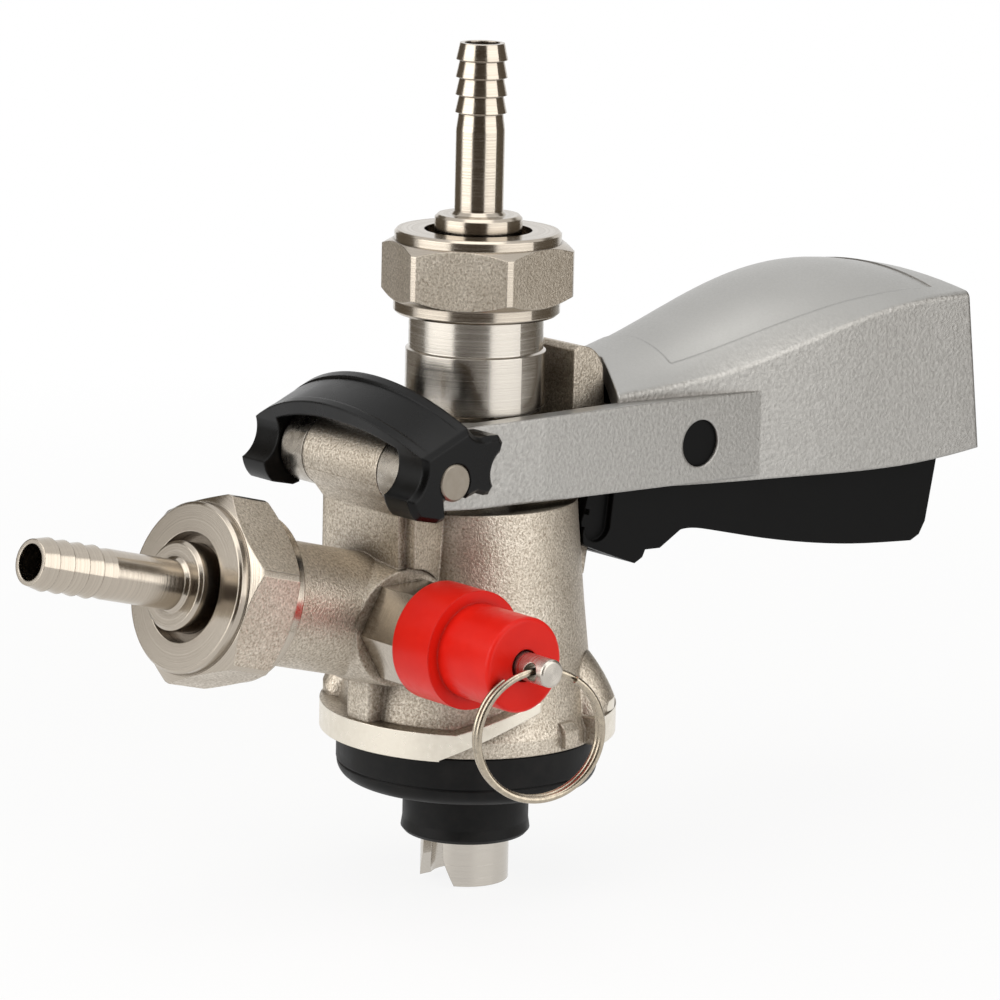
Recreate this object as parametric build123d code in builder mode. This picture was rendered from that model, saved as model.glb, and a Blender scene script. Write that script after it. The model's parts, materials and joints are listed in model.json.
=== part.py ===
from build123d import *
import os
from math import cos, radians, sin, tan

os.makedirs("parts", exist_ok=True)

# Keg coupler. The probe axis is Z and the flange's underside, where the coupler meets the keg neck, is Z = 0.
# The gas inlet points to -Y, the handle to +Y, and the hinge runs along X. All sizes are in millimetres.

# Flange and keg seat
rim_radius = 23.75
rim_height = 4.4
rim_width = 4.8
core_radius = 21.4
lug_count = 2
lug_gap = 32
lug_turn = 4
ramp_arc = 40
ramp_rise = 7.7
ramp_tip = 1.5
gusset_arc = 30
gusset_top = 13.4
washer_radius = 21.0
washer_depth = 8.15
washer_seat = 1.0
washer_step = 0.3
washer_shoulder = 0.6
washer_band = 5.1
spigot_radius = 14.2
spigot_depth = 5.0

# Barrel and probe bore
barrel_top = 37.8
barrel_radius = 17.0
chamber_radius = 10.9
chamber_top = 17.0
shaft_radius = 9.0
running_gap = 0.05
seal_wire = 1.8
seal_heights = (21.0, 27.0)

# Hinge
hinge_y = -21.6
hinge_z = 45.8
hinge_boss_radius = 5.75
hinge_boss_half = 9.1
hinge_pin_radius = 3.0
hinge_pin_half = 21.3

# Column under the hinge and latch post behind the probe
column_front = -21.2
column_half = 11.4
column_top = 38.5
web_half = 9.1
post_half = 7.5
post_front = 14.2
post_rear = 20.8
post_top = 61.2
tooth_reach = 4.0
tooth_bottom = 48.2
tooth_top = 49.4

# Gas arm
gas_tilt = 14.9
gas_height = 15.1
gas_arm_radius = 9.8
gas_bore_radius = 5.8
gas_nut_start = 45.8
rib_half = 2.9

# Union nuts and hose tails, used for the gas inlet and the beer outlet
nut_collar_radius = 13.15
nut_flats = 27.0
nut_corner_radius = 15.3
nut_length = 13.1
nut_hex_start = 2.1
nut_hex_end = 11.4
nut_web = 1.8
nut_hole_radius = 8.5
thread_radius = 11.4
union_washer = 2.2
tail_flange = 3.0
tail_hub_radius = 6.9
tail_hub_top = 15.55
tube_radius = 3.85
tube_bore = 2.8
tube_top = 42.4
barb_count = 4
barb_pitch = 2.75
barb_crest = 4.06
barb_root = 3.5

# Probe
stem_radius = 11.1
stem_bottom = 51.9
stem_step = 61.3
stem_neck_radius = 10.65
beer_nut_start = 67.1
beer_bore = 4.2
ball_radius = 4.76
ball_room_radius = 6.2
ball_lift = 4.5
cage_inset = 1.85
cage_height = 2.0
tip_radius = 7.1
tip_bottom = -25.0
probe_seal_radius = 10.4
probe_seal_bottom = -17.2
probe_seal_top = -5.6

# Drive pins between the handle's arms and the probe's groove
drive_pin_radius = 2.0
drive_pin_z = 41.8
drive_pin_tip = 7.3
groove_radius = 6.8

# Relief valve
relief_y = -22.0
relief_z = 20.8
relief_hex_flats = 14.5
relief_hex_start = 9.7
relief_hex_end = 18.5
relief_pad_radius = 10.2
relief_cap_radius = 9.25
relief_cap_step = 26.9
relief_cap_nose_radius = 7.35
relief_cap_end = 38.6
relief_cap_wall = 2.2
relief_clearance = 0.35
relief_seat = 12.0
pull_pin_radius = 2.15
pull_pin_end = 45.0
pull_hole_x = 42.2
pull_hole_radius = 1.4
ring_wire = 1.1
ring_diameter = 21.0
ring_turns = 1.82
ring_yaw = -18

# Handle
arm_inner = 12.0
arm_outer = 15.0
arm_top = 52.3
arm_bottom = 39.3
eye_inner = 9.3
eye_outer = 14.5
handle_wall = 3.0
grip_front = 14.0
handle_rear = 94.2
handle_rear_lean = 7.1
crease_radius = 1.2
panel_depth = 0.25
panel_margin = 3.2
lip_side = 19.5
lip_middle = 25.0

# Trigger
trigger_y = 35.2
trigger_z = 44.5
trigger_pin_radius = 3.85
trigger_pin_recess = 0.5
latch_gap = 0.5
lever_gap = 0.45
lever_front = 13.6
lever_rear = handle_rear - 4.9
lever_chin = 30.0
lever_belly = 22.3
spring_y = 64.0
spring_floor = 43.4
spring_ceiling = 64.2

# Hinge clip
clip_inner = 14.8
clip_outer = 21.2
clip_edge = 0.8
clip_tilt = 23.1
strap_width = 9.7
strap_rise = 5.4
strap_thickness = 2.2
strap_lift = 0.7
strap_rim = 1.5
strap_rim_rise = 0.4


def radial_plane(angle):
    """Vertical plane through Z, with its x axis pointing out at the given angle from +X."""
    out = (cos(radians(angle)), sin(radians(angle)), 0)
    return Plane(origin=(0, 0, 0), x_dir=out, z_dir=(out[1], -out[0], 0))


def along_x(start, y=0.0, z=0.0):
    """Plane facing +X at x = start, with its x axis along +Y and its y axis along +Z."""
    return Plane(origin=(start, y, z), x_dir=(0, 1, 0), z_dir=(1, 0, 0))


gas_direction = (0, -cos(radians(gas_tilt)), sin(radians(gas_tilt)))
gas_plane = Plane(origin=(0, 0, gas_height), x_dir=(1, 0, 0), z_dir=gas_direction)
gas_union = gas_plane.offset(gas_nut_start)
beer_union = Plane.XY.offset(beer_nut_start)
spigot_end = nut_length - nut_web - tail_flange - union_washer
gas_spigot_end = gas_nut_start + spigot_end
stem_top = beer_nut_start + spigot_end
guide_radius = shaft_radius + running_gap
cage_bottom = stem_top - cage_inset - cage_height
ball_centre = cage_bottom - 0.3 - ball_lift - ball_radius
ball_seat = ball_centre - running_gap - (ball_radius**2 - beer_bore**2) ** 0.5
barb_first = tube_top - barb_count * barb_pitch


def axial_plane(base):
    """Plane through the axis of a base plane, with y along that axis, for profiles to revolve."""
    return Plane(origin=base.origin, x_dir=base.x_dir, z_dir=-base.y_dir)


# Body casting: flange with two bayonet lugs, barrel, gas arm, hinge column and latch post
lug_pitch = 360 / lug_count
lug_start = lug_turn + lug_gap / 2 - lug_pitch
lug_arc = lug_pitch - lug_gap
ramp_middle = lug_start + lug_arc - ramp_arc / 2
ramp_half = rim_radius * sin(radians(ramp_arc / 2))

with BuildPart() as body_casting:
    with BuildSketch(Plane.XZ):
        with BuildLine():
            Polyline((0, 0), (core_radius, 0), (core_radius, 2.5), (20.4, 5), (19.1, 12.8))
            Polyline((19.1, 12.8), (18.2, 21), (barrel_radius, 34), (barrel_radius - 0.3, barrel_top))
            Polyline((barrel_radius - 0.3, barrel_top), (0, barrel_top), (0, 0))
        make_face()
    revolve(axis=Axis.Z)
    # Rim lugs: a flat stretch, then a ramp that rises and thins towards the gap
    rim_envelope = Cylinder(rim_radius, 30, mode=Mode.PRIVATE)
    for lug in range(lug_count):
        turn = lug * lug_pitch
        with BuildSketch(radial_plane(lug_start + turn)):
            with Locations((rim_radius - rim_width / 2, rim_height / 2)):
                Rectangle(rim_width, rim_height)
        revolve(axis=Axis.Z, revolution_arc=lug_arc - ramp_arc + 1)
        middle = radians(ramp_middle + turn)
        ramp_plane = Plane(
            origin=(0, 0, 0), x_dir=(-sin(middle), cos(middle), 0), z_dir=(cos(middle), sin(middle), 0)
        )
        with BuildSketch(ramp_plane.offset(17)):
            with BuildLine():
                Polyline(
                    (-ramp_half - 0.6, 0),
                    (-ramp_half, 0),
                    (ramp_half, ramp_rise),
                    (ramp_half, ramp_rise + ramp_tip),
                    (3 - ramp_half, rim_height),
                    (-ramp_half - 0.6, rim_height),
                    close=True,
                )
            make_face()
        ramp = extrude(amount=8, mode=Mode.PRIVATE)
        add(ramp & rim_envelope)
        # Rounded cast gusset over the first part of each lug, blended in and out along the rim
        for share, bulge in ((0, 0.15), (0.25, 0.85), (0.65, 1.0), (1, 0.15)):
            reach = barrel_radius + 3 + bulge * (rim_radius - 0.1 - barrel_radius - 3)
            top = rim_height + (0.4 + 0.6 * bulge) * (gusset_top - rim_height)
            with BuildSketch(radial_plane(lug_start + turn + 1 + share * gusset_arc)):
                with BuildLine():
                    Polyline((16, top), (16, 3.5), (reach, 3.5), (reach, 3.5 + 2.7 * bulge))
                    Spline((reach, 3.5 + 2.7 * bulge), (reach - 1.1, 4.2 + 4.4 * bulge), (19.3, top))
                    Line((19.3, top), (16, top))
                make_face()
        loft()
        # Small cast nub in the gap ahead of the lug
        with BuildSketch(radial_plane(lug_start + turn - 17)):
            with BuildLine():
                Polyline((18, 0.6), (22.6, 0.6), (22.4, 3.2), (21.2, 4.4), (18, 4.6), close=True)
            make_face()
        revolve(axis=Axis.Z, revolution_arc=8)
    # Rib between the flange and the gas arm
    with BuildSketch(Plane.XY.offset(rim_height - 1)):
        with Locations((0, -core_radius + 2)):
            RectangleRounded(2 * rib_half, 7, radius=0.8)
    extrude(amount=9)
    # Recess for the washer's upper edge, and the spigot that holds the washer
    with BuildSketch():
        Circle(washer_radius + running_gap)
    extrude(amount=washer_seat, mode=Mode.SUBTRACT)
    with BuildSketch(Plane.XY.offset(-spigot_depth)):
        Circle(spigot_radius)
    extrude(amount=spigot_depth + washer_seat)
    # Column under the hinge, wider at its front face than where it leaves the barrel
    with BuildSketch(Plane.XY.offset(14)):
        with BuildLine():
            Polyline(
                (-column_half, column_front),
                (column_half, column_front),
                (web_half, -13),
                (-web_half, -13),
                close=True,
            )
        make_face()
    extrude(amount=column_top - 14)
    with BuildSketch(along_x(-web_half)):
        with BuildLine():
            Polyline(
                (-13, 30),
                (column_front - 1.2, 30),
                (column_front - 1.6, column_top),
                (hinge_y - hinge_boss_radius + 0.3, hinge_z - 2),
                (hinge_y, hinge_z),
                (hinge_y + hinge_boss_radius, hinge_z),
                (-13, column_top),
                close=True,
            )
        make_face()
    extrude(amount=2 * web_half)
    with BuildSketch(along_x(-hinge_boss_half, hinge_y, hinge_z)):
        Circle(hinge_boss_radius)
    extrude(amount=2 * hinge_boss_half)
    # Latch post with its rear tooth and the rib that carries it
    with BuildSketch(along_x(-post_half)):
        with BuildLine():
            Polyline(
                (10, 24),
                (17.4, 24),
                (post_rear - 1, barrel_top),
                (post_rear, tooth_bottom - 1.2),
                (post_rear + tooth_reach, tooth_bottom),
                (post_rear + tooth_reach, tooth_top),
                (post_rear, tooth_top + 2.2),
                (post_rear - 0.4, post_top - 4),
            )
            ThreePointArc(
                (post_rear - 0.4, post_top - 4),
                (post_rear - 1.9, post_top - 1.4),
                (post_front + 1, post_top),
            )
            Polyline(
                (post_front + 1, post_top),
                (post_front, post_top - 0.7),
                (post_front, barrel_top),
                (10, barrel_top),
                (10, 24),
            )
        make_face()
    extrude(amount=2 * post_half)
    # Gas arm with its threaded end, and the pad that the relief valve screws into
    with BuildSketch(gas_plane.offset(8)):
        Circle(gas_arm_radius)
    extrude(amount=gas_nut_start - 8)
    with BuildSketch(gas_plane.offset(gas_nut_start)):
        Circle(thread_radius)
    extrude(amount=spigot_end)
    with BuildSketch(along_x(0, relief_y, relief_z)):
        Circle(relief_pad_radius)
    extrude(amount=relief_hex_start, taper=6)
    # Spot-face that seats the relief valve's hexagon and clears its cap
    with BuildSketch(along_x(relief_hex_start, relief_y, relief_z)):
        Circle(relief_cap_radius + relief_clearance)
    extrude(amount=barrel_radius, mode=Mode.SUBTRACT)
    # Probe bore: gas chamber, running guide and the two seal glands
    with BuildSketch(Plane.XY.offset(-spigot_depth)):
        Circle(chamber_radius)
    extrude(amount=spigot_depth + chamber_top, mode=Mode.SUBTRACT)
    with BuildSketch(Plane.XY.offset(chamber_top)):
        Circle(guide_radius)
    extrude(amount=barrel_top, mode=Mode.SUBTRACT)
    for height in seal_heights:
        with BuildSketch(Plane.XY.offset(height - seal_wire / 2 - 0.1)):
            Circle(guide_radius + seal_wire)
        extrude(amount=seal_wire + 0.2, mode=Mode.SUBTRACT)
    # Gas gallery, counterbore for the check valve, relief port and hinge bore
    with BuildSketch(gas_plane.offset(21)):
        Circle(gas_bore_radius)
    extrude(amount=40, mode=Mode.SUBTRACT)
    with BuildSketch(Plane(origin=(0, -24, 20.5), x_dir=(1, 0, 0), z_dir=(0, 0.89, -0.456))):
        Circle(2.6)
    extrude(amount=16, mode=Mode.SUBTRACT)
    with BuildSketch(gas_plane.offset(gas_spigot_end - 2)):
        Circle(7.4)
    extrude(amount=4, mode=Mode.SUBTRACT)
    with BuildSketch(along_x(0, relief_y, relief_z)):
        Circle(5.0)
    extrude(amount=relief_hex_start + 1, mode=Mode.SUBTRACT)
    with BuildSketch(along_x(-hinge_boss_half - 1, hinge_y, hinge_z)):
        Circle(hinge_pin_radius + running_gap)
    extrude(amount=2 * hinge_boss_half + 2, mode=Mode.SUBTRACT)

# Bottom washer: the rubber ring that seals on the keg neck, stepped where it enters the casting
with BuildPart() as bottom_washer:
    with BuildSketch(Plane.XZ):
        with BuildLine():
            Polyline(
                (spigot_radius, washer_seat),
                (washer_radius - washer_shoulder, washer_seat),
                (washer_radius - washer_shoulder, -washer_step),
                (washer_radius, -washer_step),
                (washer_radius, -washer_band),
                (washer_radius - 0.35, -washer_band - 0.2),
                (washer_radius - 0.1, -washer_band - 0.4),
            )
            ThreePointArc(
                (washer_radius - 0.1, -washer_band - 0.4),
                (washer_radius - 0.8, -washer_band - 2.2),
                (washer_radius - 2.8, -washer_depth),
            )
            Polyline(
                (washer_radius - 2.8, -washer_depth),
                (chamber_radius, -washer_depth),
                (chamber_radius, -spigot_depth),
                (spigot_radius, -spigot_depth),
                (spigot_radius, washer_seat),
            )
        make_face()
    revolve(axis=Axis.Z)

# O-rings in the barrel's two glands, which seal on the probe shaft
with BuildPart() as shaft_seals:
    for height in seal_heights:
        with BuildSketch(Plane.XZ):
            with Locations((guide_radius + seal_wire / 2, height)):
                Circle(seal_wire / 2)
        revolve(axis=Axis.Z)


def union_nut(base, spin):
    """Hexagon union nut with a plain collar at each end, standing on its base plane."""
    with BuildPart() as nut:
        with BuildSketch(base.offset(nut_hex_start)):
            RegularPolygon(radius=nut_flats / 2, side_count=6, major_radius=False, rotation=spin)
        extrude(amount=nut_hex_end - nut_hex_start)
        with BuildSketch(axial_plane(base)):
            with BuildLine():
                Polyline(
                    (0, nut_hex_start),
                    (nut_collar_radius + 0.3, nut_hex_start),
                    (nut_corner_radius, nut_hex_start + 1.1),
                    (nut_corner_radius, nut_hex_end - 1.1),
                    (nut_collar_radius + 0.3, nut_hex_end),
                    (0, nut_hex_end),
                    close=True,
                )
            make_face()
        revolve(axis=Axis(base.origin, base.z_dir), mode=Mode.INTERSECT)
        with BuildSketch(axial_plane(base)):
            with BuildLine():
                Polyline(
                    (0, 0),
                    (nut_collar_radius - 0.4, 0),
                    (nut_collar_radius, 0.4),
                    (nut_collar_radius, nut_length - 0.4),
                    (nut_collar_radius - 0.4, nut_length),
                    (0, nut_length),
                    close=True,
                )
            make_face()
        revolve(axis=Axis(base.origin, base.z_dir))
        with BuildSketch(base):
            Circle(thread_radius)
        extrude(amount=nut_length - nut_web, mode=Mode.SUBTRACT)
        with BuildSketch(base):
            Circle(nut_hole_radius)
        extrude(amount=nut_length, mode=Mode.SUBTRACT)
    return nut


def union_gasket(base):
    """Flat washer between the threaded end and the hose tail's flange."""
    with BuildPart() as gasket:
        with BuildSketch(base.offset(spigot_end)):
            Circle(thread_radius - 0.3)
            Circle(5.5, mode=Mode.SUBTRACT)
        extrude(amount=union_washer)
    return gasket


def hose_tail(base):
    """Barbed hose tail with the flange and hub that the union nut traps."""
    flange_start = spigot_end + union_washer
    flange_end = flange_start + tail_flange
    with BuildPart() as tail:
        with BuildSketch(axial_plane(base)):
            with BuildLine():
                Polyline(
                    (tube_bore, flange_start),
                    (thread_radius - 0.3, flange_start),
                    (thread_radius - 0.3, flange_end),
                    (tail_hub_radius, flange_end),
                    (tail_hub_radius, tail_hub_top - 0.5),
                    (tail_hub_radius - 0.5, tail_hub_top),
                    (tube_radius + 0.5, tail_hub_top),
                    (tube_radius, tail_hub_top + 0.6),
                    (tube_radius, barb_first - 2.6),
                )
                Line((tube_radius, barb_first - 2.6), (barb_root, barb_first))
                for tooth in range(barb_count):
                    crest = barb_first + tooth * barb_pitch
                    Polyline((barb_root, crest), (barb_crest, crest + 0.15), (barb_root, crest + barb_pitch))
                Polyline((barb_root, tube_top), (tube_bore, tube_top), (tube_bore, flange_start))
            make_face()
        revolve(axis=Axis(base.origin, base.z_dir))
    return tail


gas_nut = union_nut(gas_union, 20)
gas_gasket = union_gasket(gas_union)
gas_tail = hose_tail(gas_union)
beer_nut = union_nut(beer_union, 38.7)
beer_gasket = union_gasket(beer_union)
beer_tail = hose_tail(beer_union)

# Check valve in the gas inlet: a rubber cup that closes to a flat bill
with BuildPart() as gas_check_valve:
    with BuildSketch(gas_plane.offset(gas_spigot_end - 2)):
        Circle(7.3)
    extrude(amount=2)
    with BuildSketch(gas_plane.offset(gas_spigot_end - 2)):
        Circle(5.2)
    with BuildSketch(gas_plane.offset(gas_spigot_end - 10)):
        Rectangle(9.0, 1.6)
    loft()
    with BuildSketch(gas_plane.offset(gas_spigot_end)):
        Circle(4.0)
    extrude(amount=-5, taper=22, mode=Mode.SUBTRACT)

# Probe: beer tube with the drive groove, the stem under the beer nut and the notched tip
groove_bottom = drive_pin_z - drive_pin_radius - 0.15
groove_top = drive_pin_z + drive_pin_radius + 0.25
with BuildPart() as probe:
    with BuildSketch(Plane.XZ):
        with BuildLine():
            Polyline(
                (beer_bore, tip_bottom),
                (tip_radius, tip_bottom),
                (tip_radius, -13),
                (tip_radius - 0.9, -13),
                (tip_radius - 0.9, -10),
                (tip_radius, -10),
                (tip_radius, probe_seal_top),
                (shaft_radius, probe_seal_top),
                (shaft_radius, groove_bottom),
                (groove_radius, groove_bottom),
                (groove_radius, groove_top),
                (shaft_radius, groove_top),
                (shaft_radius, stem_bottom),
                (stem_radius - 0.3, stem_bottom),
                (stem_radius, stem_bottom + 0.3),
                (stem_radius, stem_step),
                (stem_neck_radius, stem_step + 0.3),
                (stem_neck_radius, beer_nut_start + 0.3),
                (thread_radius, beer_nut_start + 1),
                (thread_radius, stem_top),
                (ball_room_radius, stem_top),
                (ball_room_radius, ball_seat + ball_room_radius - beer_bore),
                (beer_bore, ball_seat),
                close=True,
            )
        make_face()
    revolve(axis=Axis.Z)
    with BuildSketch(Plane.XY.offset(tip_bottom)):
        Circle(tip_radius - 1.7)
    extrude(amount=7, mode=Mode.SUBTRACT)
    # V-shaped notches on both sides of the tip let the keg valve's flow in
    with BuildSketch(Plane.XZ):
        with BuildLine():
            Polyline(
                (-4.2, tip_bottom),
                (-2.5, tip_bottom + 4),
                (-2.2, tip_bottom + 9),
                (2.2, tip_bottom + 9),
                (2.5, tip_bottom + 4),
                (4.2, tip_bottom),
                close=True,
            )
        make_face()
    extrude(amount=tip_radius + 1, both=True, mode=Mode.SUBTRACT)

# Probe seal: the rubber ring that pushes the keg valve open
with BuildPart() as probe_seal:
    with BuildSketch(Plane.XZ):
        with BuildLine():
            Polyline(
                (tip_radius, probe_seal_bottom),
                (probe_seal_radius - 0.5, probe_seal_bottom),
                (probe_seal_radius, probe_seal_bottom + 0.6),
                (probe_seal_radius - 0.25, probe_seal_bottom + 2.2),
                (probe_seal_radius - 0.25, probe_seal_top - 0.6),
                (probe_seal_radius - 0.9, probe_seal_top),
                (tip_radius, probe_seal_top),
                (tip_radius, -10),
                (tip_radius - 0.9, -10),
                (tip_radius - 0.9, -13),
                (tip_radius, -13),
                close=True,
            )
        make_face()
    revolve(axis=Axis.Z)

# Check ball above its seat, and the cage that stops it below the outlet
with BuildPart() as check_ball:
    with Locations((0, 0, ball_centre)):
        Sphere(ball_radius)

with BuildPart() as ball_cage:
    with BuildSketch(Plane.XY.offset(cage_bottom)):
        Circle(ball_room_radius)
        Circle(ball_room_radius - 1.2, mode=Mode.SUBTRACT)
        with PolarLocations(0, 2, angular_range=180):
            Rectangle(2 * ball_room_radius - 1, 1.4)
    extrude(amount=cage_height)

# Hinge pin, pressed into the arms' eyes and free in the casting's boss
with BuildPart() as hinge_pin:
    with BuildSketch(along_x(-hinge_pin_half, hinge_y, hinge_z)):
        Circle(hinge_pin_radius)
    extrude(amount=2 * hinge_pin_half)
    chamfer(hinge_pin.edges().filter_by(GeomType.CIRCLE), length=0.35)

# Drive pins: pressed into the arms, with their tips in the probe's groove
with BuildPart() as drive_pins:
    with BuildSketch(along_x(drive_pin_tip, 0, drive_pin_z)):
        Circle(drive_pin_radius)
    extrude(amount=arm_inner + 2 - drive_pin_tip)
    mirror(about=Plane.YZ)


# Fork: the two arms with their eyes, before they join the grip
with BuildPart() as fork:
    with BuildSketch(along_x(eye_inner)):
        with Locations((hinge_y, hinge_z)):
            Circle(hinge_boss_radius)
        with BuildLine():
            Polyline(
                (hinge_y, hinge_z - hinge_boss_radius),
                (-12, arm_bottom),
                (56, arm_bottom - 1.8),
                (56, arm_top - 0.8),
                (20, arm_top),
                (-12, arm_top),
                (hinge_y, hinge_z + hinge_boss_radius),
                close=True,
            )
        make_face()
    extrude(amount=8)
    with BuildSketch(Plane.XY.offset(30)):
        with BuildLine():
            Polyline(
                (eye_inner, -30),
                (eye_outer, -30),
                (eye_outer, -12),
                (arm_outer, 2),
                (arm_outer, 50),
                (arm_outer - 1.4, 56),
                (arm_inner + 1.2, 56),
                (arm_inner, 44),
                (arm_inner, -10),
                (eye_inner, -13.5),
                close=True,
            )
        make_face()
    extrude(amount=40, mode=Mode.INTERSECT)
    mirror(about=Plane.YZ)


# Grip stations from front to rear: share of the grip's length, half width, crease, crest and lower edge
grip_stations = (
    (0, 12.2, 53.2, 54.6, 38.4),
    (0.175, 12.7, 53.9, 58.6, 37.8),
    (0.36, 14.2, 55.4, 63.3, 37.1),
    (0.55, 16.3, 59.2, 67.8, 36.7),
    (0.75, 18.1, 63.2, 69.4, 36.4),
    (0.92, 19.7, 64.7, 67.6, 37.2),
    (1.05, 20.8, 65.0, 65.5, 38.6),
)


def grip_shape(inset):
    """Crowned grip through its stations; the hollow is the same shape, one wall further in."""
    with BuildPart() as grip:
        for share, half, crease, crest, floor in grip_stations:
            side = half - inset
            y = grip_front + share * (handle_rear - grip_front)
            with BuildSketch(Plane(origin=(0, y, -inset), x_dir=(1, 0, 0), z_dir=(0, -1, 0))):
                with BuildLine():
                    Polyline((-side, crease), (-side, floor - inset), (side, floor - inset), (side, crease))
                    ThreePointArc((side, crease), (0, crest), (-side, crease))
                section = make_face()
                fillet(section.vertices().group_by(Axis.Y)[-1], radius=crease_radius)
        loft()
        # The rear face leans forward towards the top
        lean = radians(handle_rear_lean)
        rear_plane = Plane(origin=(0, handle_rear - inset, arm_bottom), z_dir=(0, cos(lean), sin(lean)))
        split(bisect_by=rear_plane, keep=Keep.BOTTOM)
    return grip


grip_outside = grip_shape(0)
grip_hollow = grip_shape(handle_wall)

# Shallow panel in the grip's crown, which follows the crown at its own depth
with BuildPart() as grip_panel:
    with BuildSketch(Plane.XY.offset(arm_top)):
        with BuildLine():
            Polyline((13 - panel_margin, 33), (14.4 - panel_margin, 44), (16.3 - panel_margin, 58))
            Polyline((16.3 - panel_margin, 58), (19.5 - panel_margin, 86), (panel_margin - 19.5, 86))
            Polyline((panel_margin - 19.5, 86), (panel_margin - 16.3, 58), (panel_margin - 14.4, 44))
            Polyline((panel_margin - 14.4, 44), (panel_margin - 13, 33), (13 - panel_margin, 33))
        make_face()
    extrude(amount=20)
    add(grip_outside.part.moved(Location((0, 0, -panel_depth))), mode=Mode.SUBTRACT)

# Handle casting: the fork's arms widen into a hollow, crowned grip that is open underneath
with BuildPart() as handle_casting:
    add(grip_outside.part)
    add(grip_hollow.part, mode=Mode.SUBTRACT)
    add(grip_panel.part, mode=Mode.SUBTRACT)
    # Front lip, cut back so that it clears the latch post and the stem
    with BuildSketch(Plane.XY.offset(30)):
        with BuildLine():
            Polyline(
                (-30, 0),
                (-30, lip_side),
                (-arm_inner, lip_side),
                (-2, lip_middle),
                (2, lip_middle),
                (arm_inner, lip_side),
                (30, lip_side),
                (30, 0),
                close=True,
            )
        make_face()
    extrude(amount=40, mode=Mode.SUBTRACT)
    # Bay for the trigger between the arms
    with BuildSketch(Plane.XY.offset(arm_bottom - 10)):
        with Locations((0, lip_side + 15)):
            Rectangle(2 * arm_inner, 30)
    extrude(amount=arm_top - 1.3 - arm_bottom + 10, mode=Mode.SUBTRACT)
    # Seat for the trigger spring under the crown
    with BuildSketch(Plane.XY.offset(spring_ceiling)):
        with Locations((0, spring_y)):
            Circle(4.4)
    extrude(amount=2)
    add(fork.part)
    with BuildSketch(along_x(-20, hinge_y, hinge_z)):
        Circle(hinge_pin_radius)
    extrude(amount=40, mode=Mode.SUBTRACT)
    with BuildSketch(along_x(-20, trigger_y, trigger_z)):
        Circle(trigger_pin_radius)
    extrude(amount=40, mode=Mode.SUBTRACT)
    with BuildSketch(along_x(-arm_inner - 2, 0, drive_pin_z)):
        Circle(drive_pin_radius)
    extrude(amount=2 * arm_inner + 4, mode=Mode.SUBTRACT)

# Hinge clip: a strap over the hinge with a star-shaped jaw that snaps onto each end of the pin
strap_half = clip_outer - clip_edge
strap_plane = Plane(
    origin=(0, hinge_y + 2.7, hinge_z + 8.1),
    x_dir=(1, 0, 0),
    z_dir=(0, -cos(radians(clip_tilt)), -sin(radians(clip_tilt))),
)
with BuildPart() as hinge_clip:
    with BuildSketch(along_x(clip_inner, hinge_y, hinge_z)):
        with BuildLine():
            Line((-6.2, 4.3), (2.7, 8.1))
            ThreePointArc((2.7, 8.1), (4.4, 6.6), (6.9, 6.4))
            Polyline((6.9, 6.4), (9.0, 6.3), (9.9, 5.0), (9.5, 3.6))
            ThreePointArc((9.5, 3.6), (7.7, 0.9), (8.1, -1.6))
            Polyline((8.1, -1.6), (7.2, -2.8), (6.2, -2.8), (4.6, -2.3), (2.6, -2.9), (-1.6, -3.0))
            Polyline((-1.6, -3.0), (-1.2, -5.7), (-3.0, -6.1), (-7.0, -5.2))
            ThreePointArc((-7.0, -5.2), (-8.2, -3.7), (-8.8, -1.9))
            ThreePointArc((-8.8, -1.9), (-6.4, 0.6), (-6.2, 4.3))
        make_face()
    extrude(amount=clip_outer - clip_inner)
    chamfer(hinge_clip.faces().sort_by(Axis.X)[-1].edges(), length=clip_edge)
    mirror(about=Plane.YZ)
    with BuildSketch(strap_plane):
        with BuildLine():
            outer_left, outer_right = (-strap_half, 0), (strap_half, 0)
            inner_left, inner_right = (-clip_inner, strap_lift), (clip_inner, strap_lift)
            ThreePointArc(outer_left, (0, strap_rise), outer_right)
            Polyline(outer_right, (strap_half, -strap_thickness), (clip_inner, -strap_thickness), inner_right)
            ThreePointArc(inner_right, (0, strap_rise - strap_thickness), inner_left)
            Polyline(inner_left, (-clip_inner, -strap_thickness), (-strap_half, -strap_thickness), outer_left)
        make_face()
    extrude(amount=strap_width)
    # Raised rim along the strap's front and rear edges
    for start in (0, strap_width - strap_rim):
        with BuildSketch(strap_plane.offset(start)):
            with BuildLine():
                ThreePointArc(outer_left, (0, strap_rise + strap_rim_rise), outer_right)
                ThreePointArc(outer_right, (0, strap_rise - strap_thickness / 2), outer_left)
            make_face()
        extrude(amount=strap_rim)
    # Bore and snap-in mouth for the pin
    with BuildSketch(along_x(-clip_outer, hinge_y, hinge_z)):
        Circle(hinge_pin_radius)
        with Locations((0.5, -4.5)):
            Rectangle(4.4, 5)
    extrude(amount=2 * clip_outer, mode=Mode.SUBTRACT)

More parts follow.
